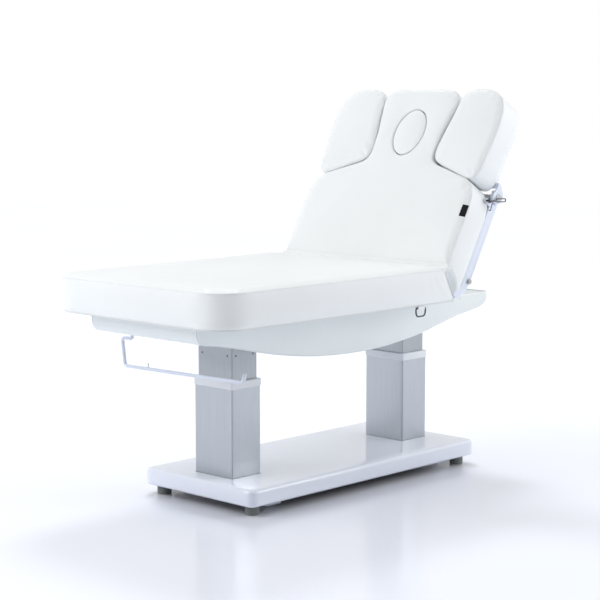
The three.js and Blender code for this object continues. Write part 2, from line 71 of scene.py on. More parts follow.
# ------------------------ dimensions
DATUM_X = 80.65                     # the base's centre in the row frame
CREASE_X, CREASE_Z = 229.0, 736.0   # where the two cushions' faces meet
TILT = math.radians(60)             # of the back section as it stands
LEAN = math.radians(30)             # of the fold plane between the cushions, off the upright
MATTRESS = dict(foot=-822.5, half=398.5, corner=108.0, top=736.0, bottom=619.9)
BACK_THICK = 111.2
BACK_TOP = 678.6                    # s at the end of the tongue
BACK_HALF, BACK_HALF_LOW = 377.4, 376.6
OVAL = dict(s=503.0, long=90.0, short=66.0)
OVAL_PLUG_DEPTH = 99.0
SEAM_DROP = 6.5                     # seams sit this far below the face they edge
STEP = 8.5                          # point spacing along a cushion's outline
GUSSET_LEG, GUSSET_BACK = 34.0, 9.0      # the crease gusset's edges, either side of its fold
GUSSET_DEPTH, GUSSET_SKIN = 93.0, 15.0   # how far it goes down the fold, and its thickness
COLUMN_X = 417.0                    # the columns stand at +- this
INNER_TUBE_X, INNER_TUBE_Y = 112.0, 157.0      # a column's inner tube, across its faces
HULL_HALF, HULL_TOP, HULL_WALL, HULL_EDGE = 250.0, 612.0, 4.0, 9.0
SLAB = dict(long=1114.0, wide=503.0, corner=24.0, bottom=31.0, top=87.0, edge_low=10.0, edge_high=13.0)
HOLDER_X, HOLDER_Y = -620.0, 229.0
RING_X, RING_Y, RING_Z = 79.0, -393.0, 612.6


def level(p):
    """Base-centred millimetres to the row frame in metres."""
    p = np.asarray(p, float)
    return np.stack([p[..., 0] + DATUM_X, p[..., 1], p[..., 2]], -1) / 1000


def raised(p):
    """(s, y, h) of the back section, in millimetres, to the row frame in metres."""
    p = np.asarray(p, float)
    s, y, h = p[..., 0], p[..., 1], p[..., 2]
    return level(np.stack([CREASE_X + s * math.cos(TILT) - h * math.sin(TILT), y,
                           CREASE_Z + s * math.sin(TILT) + h * math.cos(TILT)], -1))


def ramp(v, lo, hi):
    """0 below lo, 1 above hi and a smooth rise between."""
    t = np.clip((v - lo) / (hi - lo), 0, 1)
    return t * t * (3 - 2 * t)


# ------------------------ materials
class Surface:
    """A Principled material with helpers for its colour, roughness and bump nodes."""

    def __init__(self, name, color, rough, metal=0.0, **settings):
        self.mat = bpy.data.materials.new(name)
        self.mat.use_nodes = True
        self.tree = self.mat.node_tree
        self.shader = self.tree.nodes["Principled BSDF"]
        self.shader.inputs["Base Color"].default_value = (*color, 1)
        self.shader.inputs["Roughness"].default_value = rough
        self.shader.inputs["Metallic"].default_value = metal
        for key, value in settings.items():
            self.shader.inputs[key.replace("_", " ")].default_value = value
        self.color = color
        self.coords = self.tree.nodes.new("ShaderNodeTexCoord").outputs["Object"]
        self.normal = None
        self.mat.diffuse_color = (*color, 1)

    def link(self, a, b):
        self.tree.links.new(a, b)

    def stretched(self, scale):
        """The object's coordinates, scaled by a factor for each axis."""
        node = self.tree.nodes.new("ShaderNodeMapping")
        node.inputs["Scale"].default_value = scale
        self.link(self.coords, node.inputs["Vector"])
        return node.outputs["Vector"]

    def noise(self, scale, detail=3.0, rough=0.5, stretch=None):
        node = self.tree.nodes.new("ShaderNodeTexNoise")
        node.inputs["Scale"].default_value = scale
        node.inputs["Detail"].default_value = detail
        node.inputs["Roughness"].default_value = rough
        self.link(self.stretched(stretch) if stretch else self.coords, node.inputs["Vector"])
        return node.outputs["Fac"]

    def cells(self, scale):
        node = self.tree.nodes.new("ShaderNodeTexVoronoi")
        node.inputs["Scale"].default_value = scale
        self.link(self.coords, node.inputs["Vector"])
        return node.outputs["Distance"]

    def waves(self, scale, axis):
        node = self.tree.nodes.new("ShaderNodeTexWave")
        node.bands_direction = axis
        node.inputs["Scale"].default_value = scale
        self.link(self.coords, node.inputs["Vector"])
        return node.outputs["Fac"]

    def spread(self, value, low, high, from_low=0.3, from_high=0.7):
        """value, which runs from from_low to from_high, mapped to low to high."""
        node = self.tree.nodes.new("ShaderNodeMapRange")
        node.inputs["From Min"].default_value = from_low
        node.inputs["From Max"].default_value = from_high
        node.inputs["To Min"].default_value = low
        node.inputs["To Max"].default_value = high
        self.link(value, node.inputs["Value"])
        return node.outputs["Result"]

    def tint(self, value, other, from_low=0.3, from_high=0.7):
        """Colour drifts from the base colour towards other as value rises."""
        node = self.tree.nodes.new("ShaderNodeMix")
        node.data_type = "RGBA"
        self.link(self.spread(value, 0, 1, from_low, from_high), node.inputs["Factor"])
        node.inputs["A"].default_value = (*self.color, 1)
        node.inputs["B"].default_value = (*other, 1)
        self.link(node.outputs["Result"], self.shader.inputs["Base Color"])
        return self

    def vary_rough(self, value, low, high, from_low=0.3, from_high=0.7):
        self.link(self.spread(value, low, high, from_low, from_high), self.shader.inputs["Roughness"])
        return self

    def bump(self, value, height_mm, strength=1.0):
        node = self.tree.nodes.new("ShaderNodeBump")
        node.inputs["Strength"].default_value = strength
        node.inputs["Distance"].default_value = height_mm / 1000
        self.link(value, node.inputs["Height"])
        if self.normal:
            self.link(self.normal, node.inputs["Normal"])
        self.normal = node.outputs["Normal"]
        self.link(self.normal, self.shader.inputs["Normal"])
        return self

    def glow_far(self, near, far, strength):
        """A faint light of its own that grows with distance from the middle of the floor."""
        node = self.tree.nodes.new("ShaderNodeVectorMath")
        node.operation = "LENGTH"
        self.link(self.coords, node.inputs[0])
        self.shader.inputs["Emission Color"].default_value = (1, 1, 1, 1)
        self.link(self.spread(node.outputs["Value"], 0, strength, near, far),
                  self.shader.inputs["Emission Strength"])


def shade(color, k):
    """A colour k times as bright."""
    return tuple(min(1.0, c * k) for c in color)


def leatherette(name, color):
    """Upholstery cover: soft dents, fine cells of grain and a slight sheen."""
    s = Surface(name, color, 0.42, Specular_IOR_Level=0.42, Sheen_Weight=0.04)
    s.tint(s.noise(3.5, 4), shade(color, 0.965), 0.35, 0.75)
    s.vary_rough(s.noise(14, 5), 0.36, 0.5)
    s.bump(s.noise(26, 3), 1.1, 0.35)
    s.bump(s.cells(780), 0.16, 0.55)
    return s.bump(s.noise(2600, 2), 0.05, 0.5)


def moulded(name, color, rough, grain=900.0, grain_mm=0.03, **settings):
    """Plastic, paint or powder coat with a fine surface texture."""
    s = Surface(name, color, rough, **settings)
    s.tint(s.noise(5, 2), shade(color, 0.96), 0.1, 0.9)
    s.vary_rough(s.noise(9, 2), rough * 0.8, min(1, rough * 1.25), 0.1, 0.9)
    return s.bump(s.noise(grain, 2), grain_mm, 0.6)


def brushed(name, color, rough, stretch):
    """Metal with fine lines along the axis where stretch is least."""
    s = Surface(name, color, rough, 1.0)
    lines = s.noise(1.0, 4, 0.65, stretch)
    s.tint(lines, shade(color, 0.86), 0.3, 0.75)
    s.vary_rough(lines, rough * 0.8, rough * 1.25)
    return s.bump(lines, 0.02, 0.35)


LEATHER = leatherette("leather_white", (0.855, 0.885, 0.895))
THREAD = moulded("thread_white", (0.8, 0.82, 0.82), 0.6, 4000, 0.04)
LACQUER = moulded("lacquer_white", (0.81, 0.85, 0.95), 0.12, 30, 0.1, Coat_Weight=0.7, Coat_Roughness=0.06)
SHELL = moulded("shell_white", (0.8, 0.845, 0.846), 0.3, 1500, 0.012, Coat_Weight=0.3, Coat_Roughness=0.2)
WHITE = moulded("plastic_white", (0.82, 0.84, 0.87), 0.4, 1100, 0.05)
POWDER = moulded("powder_white", (0.74, 0.79, 0.9), 0.36, 420, 0.12, Coat_Weight=0.2)
ALUMINIUM = brushed("aluminium", (0.52, 0.55, 0.59), 0.34, (900, 900, 6))
# The same aluminium made darker for the inner tubes: painted shade, standing for the hull's shadow falling
# on them.
INNER_TUBE_PAINTED_SHADE = brushed("aluminium_inner_painted_shade", (0.43, 0.455, 0.48), 0.36, (900, 900, 6))
STEEL = brushed("steel", (0.5, 0.51, 0.53), 0.28, (30, 900, 900))
FRAME_GREY = moulded("frame_grey", (0.42, 0.44, 0.46), 0.45, 380, 0.12)
DARK_METAL = brushed("dark_metal", (0.12, 0.125, 0.135), 0.25, (300, 300, 300))
DARK = moulded("plastic_dark", (0.022, 0.023, 0.026), 0.5, 800, 0.08)
GREY = moulded("plastic_grey", (0.2, 0.215, 0.21), 0.5, 900, 0.08)
PLUG_GREY = moulded("plug_grey", (0.42, 0.46, 0.44), 0.3, 900, 0.04, Coat_Weight=0.3)
# Near black: painted shade, standing for the contact shadow under the plinth.
PAINTED_SHADE_UNDERSIDE = moulded("underside_painted_shade", (0.03, 0.032, 0.038), 0.7, 500, 0.1)


def plywood():
    """Upholstery board, primed white, its grain still showing."""
    s = Surface("board", (0.74, 0.765, 0.77), 0.6)
    grain = s.noise(1.0, 5, 0.6, (14, 160, 700))
    s.tint(grain, (0.68, 0.69, 0.68))
    s.vary_rough(grain, 0.6, 0.8)
    return s.bump(grain, 0.25, 0.5)


def woven():
    """The dark ribbon of the blank label."""
    s = Surface("label", (0.008, 0.008, 0.01), 0.85, Specular_IOR_Level=0.1)
    s.tint(s.waves(420, "Y"), (0.03, 0.03, 0.034), 0.2, 0.8)
    s.bump(s.waves(420, "Y"), 0.15, 0.7)
    return s.bump(s.waves(300, "DIAGONAL"), 0.15, 0.7)


FINISH = {
    "leather_white": LEATHER, "lacquer_white": LACQUER, "shell_white": SHELL, "plastic_white": WHITE,
    "powder_white": POWDER, "aluminium": ALUMINIUM, "steel": STEEL, "frame_grey": FRAME_GREY,
    "dark_metal": DARK_METAL, "plastic_dark": DARK, "plastic_grey": GREY, "board": plywood(),
    "label": woven(),
}
SPECIAL = {      # nodes whose finish is their own shade of their slot's; the inner tubes' darker aluminium is painted shade, standing for the hull's shadow on them
    "column_inner_foot": INNER_TUBE_PAINTED_SHADE, "column_inner_head": INNER_TUBE_PAINTED_SHADE, "pivot_shaft": POWDER,
    "bar_plug_left": PLUG_GREY, "bar_plug_right": PLUG_GREY,
}
SLOT_OF = {part["node"]: part["material_slot"] for part in frame["record"]["subparts"]}


# ------------------------ mesh building
def make(name, verts, faces, finish, body=None, smooth=True):
    """A mesh object from row-frame points, riding on a body."""
    mesh = bpy.data.meshes.new(name)
    mesh.from_pydata([tuple(v) for v in np.asarray(verts)], [], [tuple(f) for f in faces])
    mesh.validate()
    mesh.update()
    if smooth:
        mesh.shade_smooth()
    mesh.materials.append(finish.mat)
    obj = bpy.data.objects.new(name, mesh)
    scene.collection.objects.link(obj)
    if body:
        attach(obj, body)
    return obj


def points_of(obj):
    """The vertices as an array, in the row frame."""
    co = np.zeros(len(obj.data.vertices) * 3)
    obj.data.vertices.foreach_get("co", co)
    return co.reshape(-1, 3)


def spaced(points, step, closed=False):
    """A polyline resampled at about step, its own points kept only at the ends."""
    p = np.asarray(points, float)
    if closed:
        p = np.vstack([p, p[:1]])
    length = np.r_[0, np.cumsum(np.linalg.norm(np.diff(p, axis=0), axis=1))]
    n = max(2, int(round(length[-1] / step)) + 1)
    at = np.linspace(0, length[-1], n)
    out = np.stack([np.interp(at, length, p[:, k]) for k in range(p.shape[1])], 1)
    return out[:-1] if closed else out


def spline(points, n):
    """Points on a smooth open curve through the ones given."""
    p = np.asarray(points, float)
    p = np.vstack([2 * p[0] - p[1], p, 2 * p[-1] - p[-2]])
    out = []
    for i in range(1, len(p) - 2):
        for t in np.linspace(0, 1, n, endpoint=False):
            a, b, c, d = p[i - 1:i + 3]
            out.append(0.5 * (2 * b + (c - a) * t + (2 * a - 5 * b + 4 * c - d) * t * t
                              + (3 * b - a - 3 * c + d) * t ** 3))
    out.append(p[-2])
    return np.array(out)


def inward(ring, distance):
    """A closed anticlockwise ring moved inwards, its corners mitred."""
    before, after = ring - np.roll(ring, 1, 0), np.roll(ring, -1, 0) - ring

    def left(e):
        e = e / np.linalg.norm(e, axis=1)[:, None]
        return np.stack([-e[:, 1], e[:, 0]], 1)
    n1, n2 = left(before), left(after)
    m = n1 + n2
    m /= np.linalg.norm(m, axis=1)[:, None]
    reach = 1 / np.maximum(0.4, (m * n1).sum(1))
    return ring + m * (reach * distance)[:, None]


def inside(points, ring):
    """Which of the points lie inside the ring."""
    x, y = points[:, 0], points[:, 1]
    hit = np.zeros(len(points), bool)
    for (x0, y0), (x1, y1) in zip(ring, np.roll(ring, -1, 0)):
        if y0 == y1:
            continue
        cross = (y0 > y) != (y1 > y)
        hit ^= cross & (x < (x1 - x0) * (y - y0) / (y1 - y0) + x0)
    return hit


def nearest(points, ring):
    """Each point's distance to the nearest point of the ring."""
    out = np.empty(len(points))
    for i in range(0, len(points), 4000):
        d = points[i:i + 4000, None, :] - ring[None, :, :]
        out[i:i + 4000] = np.sqrt((d ** 2).sum(2).min(1))
    return out


def cap_faces(loops, grid):
    """Triangles that fill the outer loop less the holes: (extra points, faces). Faces index the
    loops' points in order, then the extra points."""
    rim = np.vstack(loops)
    lo, hi = rim.min(0), rim.max(0)
    row_pitch, clearance = 0.866, 0.62       # of an even triangular grid, and from it to the rim
    xs = np.arange(lo[0], hi[0], grid)
    ys = np.arange(lo[1], hi[1], grid * row_pitch)
    gx, gy = np.meshgrid(xs, ys)
    gx[1::2] += grid / 2
    free = np.stack([gx.ravel(), gy.ravel()], 1)
    keep = inside(free, loops[0])
    for hole in loops[1:]:
        keep &= ~inside(free, hole)
    free = free[keep]
    free = free[nearest(free, rim) > grid * clearance]
    edges, start = [], 0
    for loop in loops:
        n = len(loop)
        edges += [(start + i, start + (i + 1) % n) for i in range(n)]
        start += n
    flat = np.vstack([rim, free])
    co, _, faces, _, _, _ = delaunay_2d_cdt([Vector(p) for p in flat], edges, [], 1, 1e-6)
    assert len(co) == len(flat), "the fill made or merged points"
    centre = np.array([np.mean([flat[i] for i in f], 0) for f in faces])
    keep = inside(centre, loops[0])
    for hole in loops[1:]:
        keep &= ~inside(centre, hole)
    out = []
    for f, k in zip(faces, keep):
        if k:
            a, b, c = (flat[i] for i in f)
            turn = (b[0] - a[0]) * (c[1] - a[1]) - (b[1] - a[1]) * (c[0] - a[0])
            out.append(tuple(f) if turn > 0 else tuple(reversed(f)))
    return free, out


def cushion(name, loops, profile, grid, crown, reach, place, finish):
    """A closed upholstered form. loops: plan rings, the outer one anticlockwise and holes
    clockwise. profile: (inset, height) from the underside up. crown: rise of the face, most of
    it within reach of its edge. Returns (object, ring vertex indices by profile step for each
    loop)."""
    verts, rings = [], []
    for loop in loops:
        mine = []
        for inset, height in profile:
            at = inward(loop, inset)
            mine.append(range(len(verts), len(verts) + len(at)))
            verts += [(x, y, height) for x, y in at]
        rings.append(mine)
    faces = []
    for mine in rings:
        for low, high in zip(mine, mine[1:]):
            n = len(low)
            faces += [(low[i], low[(i + 1) % n], high[(i + 1) % n], high[i]) for i in range(n)]
    for step, up in ((len(profile) - 1, True), (0, False)):
        ends = [np.array([verts[i][:2] for i in mine[step]]) for mine in rings]
        index = [i for mine in rings for i in mine[step]]
        free, tris = cap_faces(ends, grid)
        depth = nearest(free, np.vstack(ends)) if len(free) else np.zeros(0)
        rise = (crown if up else 0.0) * (1 - np.exp(-(depth / reach) ** 2))
        index += list(range(len(verts), len(verts) + len(free)))
        verts += [(x, y, profile[step][1] + r) for (x, y), r in zip(free, rise)]
        faces += [tuple(index[i] for i in (f if up else f[::-1])) for f in tris]
    return make(name, place(np.array(verts, float)), faces, finish), rings


def inflate(obj, pinned, cap):
    """Fills the piece with air as cloth, pinned along its seams, each point's travel capped."""
    pressure, frames, stiffness = 4.0, 20, 12.0
    group = obj.vertex_groups.new(name="seams")
    group.add([int(i) for i in pinned], 1.0, "REPLACE")
    mod = obj.modifiers.new("cloth", "CLOTH")
    st = mod.settings
    st.quality = 5
    st.mass = 0.3
    st.tension_stiffness = st.compression_stiffness = stiffness
    st.shear_stiffness = stiffness / 2
    st.bending_stiffness = 0.6
    st.use_pressure = True
    st.uniform_pressure_force = pressure
    st.vertex_group_mass = "seams"
    st.effector_weights.gravity = 0
    mod.collision_settings.use_collision = False
    mod.point_cache.frame_start, mod.point_cache.frame_end = 1, frames
    before = points_of(obj)
    for f in range(1, frames + 1):
        scene.frame_set(f)
    move = points_of(obj.evaluated_get(bpy.context.evaluated_depsgraph_get())) - before
    obj.modifiers.remove(mod)
    obj.vertex_groups.clear()
    scene.frame_set(1)
    far = np.linalg.norm(move, axis=1)
    after = before + move * (cap * np.tanh(far / cap) / np.maximum(far, 1e-9))[:, None]
    obj.data.vertices.foreach_set("co", after.ravel())
    obj.data.update()


def modified(obj, kind, **settings):
    """Adds a modifier and applies it."""
    mod = obj.modifiers.new(kind.lower(), kind)
    for key, value in settings.items():
        setattr(mod, key, value)
    mesh = bpy.data.meshes.new_from_object(obj.evaluated_get(bpy.context.evaluated_depsgraph_get()))
    obj.modifiers.remove(mod)
    old, obj.data = obj.data, mesh
    mesh.name = old.name
    bpy.data.meshes.remove(old)


def subdivide(obj):
    """Rounds the mesh by one level of subdivision."""
    modified(obj, "SUBSURF", levels=1)
    obj.data.shade_smooth()


def tube(name, path, radius, finish, body, closed=True, sides=8):
    """A welt or wire along a path in the row frame."""
    p = np.asarray(path, float)
    n = len(p)
    ahead = np.roll(p, -1, 0) if closed else np.vstack([p[1:], 2 * p[-1:] - p[-2:-1]])
    behind = np.roll(p, 1, 0) if closed else np.vstack([2 * p[:1] - p[1:2], p[:-1]])
    t = ahead - behind
    t /= np.linalg.norm(t, axis=1)[:, None]
    side = np.cross(t, [0.31, 0.11, 0.94])       # a direction that no path here follows
    side /= np.linalg.norm(side, axis=1)[:, None]
    up = np.cross(side, t)
    a = np.arange(sides) * 2 * math.pi / sides
    verts = (p[:, None, :] + radius * (np.cos(a)[None, :, None] * side[:, None, :]
                                       + np.sin(a)[None, :, None] * up[:, None, :])).reshape(-1, 3)
    faces = []
    for i in range(n if closed else n - 1):
        for k in range(sides):
            j, m = (i + 1) % n, (k + 1) % sides
            faces.append((i * sides + k, j * sides + k, j * sides + m, i * sides + m))
    if not closed:
        faces.append(tuple(range(sides)))
        faces.append(tuple((n - 1) * sides + k for k in reversed(range(sides))))
    return make(name, verts, faces, finish, body)


def stitches(name, path, normals, finish, body, pitch=0.0052, length=0.0034, width=0.0006):
    """A row of thread stitches lying on a surface along a path."""
    p, nrm = np.asarray(path, float), np.asarray(normals, float)
    run = np.r_[0, np.cumsum(np.linalg.norm(np.diff(p, axis=0), axis=1))]
    mid = np.arange(pitch / 2, run[-1], pitch)
    verts, faces = [], []
    section = [(-1, -0.6), (-0.55, 0.7), (0.55, 0.7), (1, -0.6)]
    stations = [(0, 0.35, -0.4), (0.25, 1, 0.35), (0.75, 1, 0.35), (1, 0.35, -0.4)]

    def at(d, table):
        return np.array([np.interp(d, run, table[:, k]) for k in range(3)])

    for m in mid:
        a, b = at(m - length / 2, p), at(m + length / 2, p)
        t = (b - a) / np.linalg.norm(b - a)
        up = at(m, nrm)
        up -= t * (up @ t)
        up /= np.linalg.norm(up)
        side = np.cross(up, t)
        base = len(verts)
        for f, w, lift in stations:
            c = a + (b - a) * f + up * lift * width
            verts += [c + side * (x * w * width) + up * (z * w * width) for x, z in section]
        for low in (base, base + 4, base + 8):
            for k in range(4):
                beside = (k + 1) % 4
                faces.append((low + k, low + beside, low + 4 + beside, low + 4 + k))
        faces += [tuple(base + k for k in (3, 2, 1, 0)), tuple(base + 12 + k for k in (0, 1, 2, 3))]
    return make(name, verts, faces, finish, body)


def grid_faces(start, rows, cols, flip):
    """Quads over a grid of points whose first index is start."""
    out = []
    for i in range(rows - 1):
        for k in range(cols - 1):
            q = [start + i * cols + k, start + i * cols + k + 1,
                 start + (i + 1) * cols + k + 1, start + (i + 1) * cols + k]
            out.append(tuple(q[::-1] if flip else q))
    return out


def rim_of(rows, cols):
    """The border of a grid of points, in order."""
    return (list(range(cols)) + [i * cols + cols - 1 for i in range(1, rows)]
            + [(rows - 1) * cols + k for k in range(cols - 2, -1, -1)]
            + [i * cols for i in range(rows - 2, 0, -1)])


def sheet_faces(rows, cols, outward):
    """Faces of a thin sheet: a grid of points, the same grid set in, and the rim between them."""
    count = rows * cols
    faces = grid_faces(0, rows, cols, not outward) + grid_faces(count, rows, cols, outward)
    rim = rim_of(rows, cols)
    for i, j in zip(rim, rim[1:] + rim[:1]):
        faces.append((j, i, i + count, j + count) if outward else (i, j, j + count, i + count))
    return faces


def normals_of(obj, index):
    """The normals at some of the vertices."""
    out = np.zeros(len(obj.data.vertices) * 3)
    obj.data.vertices.foreach_get("normal", out)
    return out.reshape(-1, 3)[list(index)]


def seam_lines(obj, rings, step):
    """Points and normals of a seam, and of the line just below it."""
    out = []
    for k in (step, step - 1):
        ring = list(rings[k])
        out += [points_of(obj)[ring], normals_of(obj, ring)]
    return out


# ------------------------ upholstery outlines
def arc(cx, cy, r, a0, a1, n):
    """n points round a centre, from a0 to a1 degrees."""
    a = np.radians(np.linspace(a0, a1, n))
    return np.stack([cx + r * np.cos(a), cy + r * np.sin(a)], 1)


def run_of(*segments, step):
    """A closed ring from open stretches, each resampled so its end points stay sharp. Points
    crowding a sharp corner are dropped, so that the ring can be drawn in past them."""
    ring = np.vstack([spaced(s, step)[:-1] for s in segments])
    ahead, behind = np.roll(ring, -1, 0) - ring, ring - np.roll(ring, 1, 0)
    turn = (ahead * behind).sum(1) / (np.linalg.norm(ahead, axis=1) * np.linalg.norm(behind, axis=1))
    sharp, room = turn < 0.5, 16
    crowded = np.zeros(len(ring), bool)
    for corner in ring[sharp]:
        crowded |= np.linalg.norm(ring - corner, axis=1) < room
    return ring[sharp | ~crowded]


def edge_profile(bottom, top, side_steps, edge=9.0):
    """(inset, height) round a soft edge, up the boxing, over the seam and onto the face, and
    the step that is the seam."""
    low = [(edge * 1.5, bottom), (edge * 0.85, bottom + 0.6), (edge * 0.4, bottom + 2.6),
           (edge * 0.1, bottom + 6.2), (0.0, bottom + edge * 1.25)]
    sides = [(0.0, h) for h in np.linspace(bottom + edge * 1.25, top - SEAM_DROP - 5, side_steps)[1:]]
    seam = [(0.5, top - SEAM_DROP - 1.8), (1.5, top - SEAM_DROP), (1.3, top - SEAM_DROP + 1.6)]
    k = edge / 9
    high = [(2.3 * k, top - 2.9), (4.4 * k, top - 1.3), (7.4 * k, top - 0.4), (12.0 * k, top)]
    return low + sides + seam + high, len(low) + len(sides) + 1


def lean_end(flat, sign, edge_at):
    """Leans the end beside the crease along the fold, so that the gusset has parallel sides."""
    depth = -flat[:, 2]
    fades_from, fades_to, deepest = -70, -4, 96
    near = ramp(sign * (flat[:, 0] - edge_at), fades_from, fades_to)
    out = flat.copy()
    out[:, 0] += sign * near * math.tan(LEAN) * np.clip(depth, 0, deepest)
    return out


def upholster(obj, rings, seam_step, pinned, puff, body, node):
    """Inflates and smooths a cushion, and has it stand for its node. Returns its seam's lines."""
    inflate(obj, pinned, puff)
    lines = seam_lines(obj, rings, seam_step)
    subdivide(obj)
    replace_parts(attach(obj, body), node)
    return lines


def seam_pieces(name, lines, body, skip=None):
    """The welt of a seam and the stitching below it. skip marks points without a seam."""
    path, normals, row, row_normals = lines
    keep = np.ones(len(path), bool) if skip is None else ~skip
    start = 0 if keep.all() else int(np.argmax(keep & ~np.roll(keep, 1)))
    order = np.roll(np.arange(len(path)), -start)
    order = order[keep[order]]
    p, n = path[order], normals[order]
    sunk, radius = 0.0004, 0.0011
    tube(name + "_welt", p - n * sunk, radius, LEATHER, body, closed=bool(keep.all()))
    stitches(name + "_stitches", row[order], row_normals[order], THREAD, body)


# ------------------------ leg cushion
HALF, FOOT, CORNER = MATTRESS["half"], MATTRESS["foot"], MATTRESS["corner"]
end_x = CREASE_X - GUSSET_LEG / math.cos(LEAN)
leg_ring = run_of(
    [(end_x, -HALF), (end_x, HALF)],
    [(end_x, HALF), (FOOT + CORNER, HALF)],
    arc(FOOT + CORNER, HALF - CORNER, CORNER, 90, 180, 24),
    [(FOOT, HALF - CORNER), (FOOT, CORNER - HALF)],
    arc(FOOT + CORNER, CORNER - HALF, CORNER, 180, 270, 24),
    [(FOOT + CORNER, -HALF), (end_x, -HALF)], step=STEP)
# Soft pulls in the sides near the crease: depth of each, distance from the end, width.
SIDE_PULLS = ((4.5, 36, 9.0), (3.5, 62, 10.0), (2.0, 92, 11.0))
PULL_LEAN = 0.28


def leg_place(flat):
    """The cushion's own coordinates to the row frame, with its side pulls and leaning end."""
    shifted = flat - [0, 0, MATTRESS["top"]]
    depth = -shifted[:, 2]
    on_side = ramp(np.abs(flat[:, 1]), HALF - 6, HALF - 1) * ramp(depth, 12, 40) * ramp(-depth, -112, -85)
    pull = sum(size * np.exp(-((flat[:, 0] - end_x + at - PULL_LEAN * depth) / wide) ** 2)
               for size, at, wide in SIDE_PULLS)
    shifted = shifted - np.stack([0 * depth, np.sign(flat[:, 1]) * on_side * pull, 0 * depth], 1)
    return level(lean_end(shifted, 1, end_x) + [0, 0, MATTRESS["top"]])


profile, seam_step = edge_profile(MATTRESS["bottom"], MATTRESS["top"], 10)
leg_cushion, (rings,) = cushion("leg_cushion_upholstery", [leg_ring], profile, grid=11.0, crown=3.0,
                                reach=90.0, place=leg_place, finish=LEATHER)
pinned = [*rings[seam_step], *rings[2]]
seam = upholster(leg_cushion, rings, seam_step, pinned, 0.0045, "lift", "leg_cushion")
seam_pieces("leg_cushion_seam", seam, "lift", skip=leg_ring[:, 0] > end_x - 1)

# ------------------------ back cushion
# One form with its tongue and oval opening, drawn in (s, y).
shoulder = spline([(245, 375.5), (272, 370.5), (297, 359.5), (317, 343.5), (332, 324.5)], 6)
neck = spline([(379, 178), (386, 163), (397, 151), (412, 145), (430, 143.2)], 6)
crown_edge = spline([(612, 168.6), (634, 167.2), (656, 157), (669.6, 140), (676.2, 113)], 6)
back_s = GUSSET_BACK / math.cos(LEAN)
right_side = np.vstack([[(back_s, BACK_HALF_LOW), (40.0, BACK_HALF), (230.0, BACK_HALF)], shoulder, neck,
                        [(499, 147.6), (556, 158.6)], crown_edge, [(BACK_TOP, 60)]])
left_side = right_side * [1, -1]
back_ring = run_of([(back_s, BACK_HALF_LOW), (back_s, -BACK_HALF_LOW)], left_side,
                   [(BACK_TOP, -60), (BACK_TOP, 60)], right_side[::-1], step=STEP)


def oval_ring(grow, step, clockwise=False):
    """The face opening's outline, grown by so much."""
    a = np.linspace(0, 2 * math.pi, 240, endpoint=False)
    p = np.stack([OVAL["s"] + (OVAL["long"] + grow) * np.cos(a), (OVAL["short"] + grow) * np.sin(a)], 1)
    p = spaced(p, step, closed=True)
    return p[::-1] if clockwise else p


def back_place(flat):
    """The cushion's own coordinates to the row frame, with its leaning end."""
    return raised(lean_end(flat, -1, back_s))


profile, seam_step = edge_profile(-BACK_THICK, 0.0, 10)
outlines = [back_ring, oval_ring(1.3, 6.0, clockwise=True)]
back_cushion, (rings, hole_rings) = cushion("back_cushion_upholstery", outlines, profile, grid=11.0,
                                            crown=3.0, reach=80.0, place=back_place, finish=LEATHER)
pinned = [*rings[seam_step], *rings[2], *(i for ring in hole_rings for i in ring)]
seam = upholster(back_cushion, rings, seam_step, pinned, 0.004, "back", "back_cushion")
seam_pieces("back_cushion_seam", seam, "back", skip=back_ring[:, 0] < back_s + 1)

# ------------------------ label
# Blank and sewn down, it lies on the inflated face beside the seam.
LABEL_S, LABEL_Y = np.linspace(187, 230, 16), np.linspace(-375.2, -355, 14)
shape = bmesh.new()
shape.from_mesh(back_cushion.data)
skin = BVHTree.FromBMesh(shape)
shape.free()
INTO_FACE = Vector(raised([0, 0, -1]) - raised([0, 0, 0])).normalized()


def on_skin(at_s, at_y, lift):
    """The point of the back's face under (at_s, at_y), lifted off it by this much."""
    above = 40
    hit, normal = skin.ray_cast(Vector(raised([at_s, at_y, above])), INTO_FACE)[:2]
    return np.array(hit + normal * lift / 1000)


label_points = [on_skin(u, v, lift) for lift in (0.9, -0.4) for u in LABEL_S for v in LABEL_Y]
label = make("sewn_label", label_points, sheet_faces(len(LABEL_S), len(LABEL_Y), False), FINISH["label"])
label.data.set_sharp_from_angle(angle=math.radians(50))
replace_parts(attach(label, "back"), "blank_label")

# ------------------------ face plug
profile, seam_step = edge_profile(-OVAL_PLUG_DEPTH, -0.6, 9, edge=5.0)
plug, (rings,) = cushion("face_plug_upholstery", [oval_ring(-0.3, 6.0)], profile, grid=8.0, crown=3.0,
                         reach=34.0, place=raised, finish=LEATHER)
pinned = [i for ring in rings[:-3] for i in ring]
upholster(plug, rings, seam_step, pinned, 0.003, "face_plug", "face_plug")

# ------------------------ side pads
# The right pad's outline, as (y, s).
PAD_OUTLINE = [(331, 333), (353, 341), (368, 365), (371, 400), (376, 450), (380, 520), (377, 570),
               (369, 610), (352, 642), (324, 664), (285, 677), (250, 680), (219, 676), (192, 662),
               (178, 640), (175, 612), (167.5, 556), (157, 499), (149.5, 440), (151, 415), (163, 396),
               (186, 385)]


def closed_spline(points, n):
    """A smooth closed curve through the points."""
    p = np.array(points, float)
    q = np.vstack([p[-2:], p, p[:3]])
    wide = spline(q, n)
    return wide[2 * n:(2 + len(p)) * n]


def pad_ring(side, step=7.0, relaxed=8, grown=2.0):
    """A side pad's outline, anticlockwise, its bends eased and then grown a little."""
    ring = spaced(closed_spline(PAD_OUTLINE, 8)[:, ::-1] * [1, side], step, closed=True)
    area = np.sum(ring[:, 0] * np.roll(ring[:, 1], -1) - np.roll(ring[:, 0], -1) * ring[:, 1])
    ring = ring if area > 0 else ring[::-1]
    for _ in range(relaxed):
        ring = ring / 2 + (np.roll(ring, 1, 0) + np.roll(ring, -1, 0)) / 4
    return spaced(inward(ring, -grown), step, closed=True)


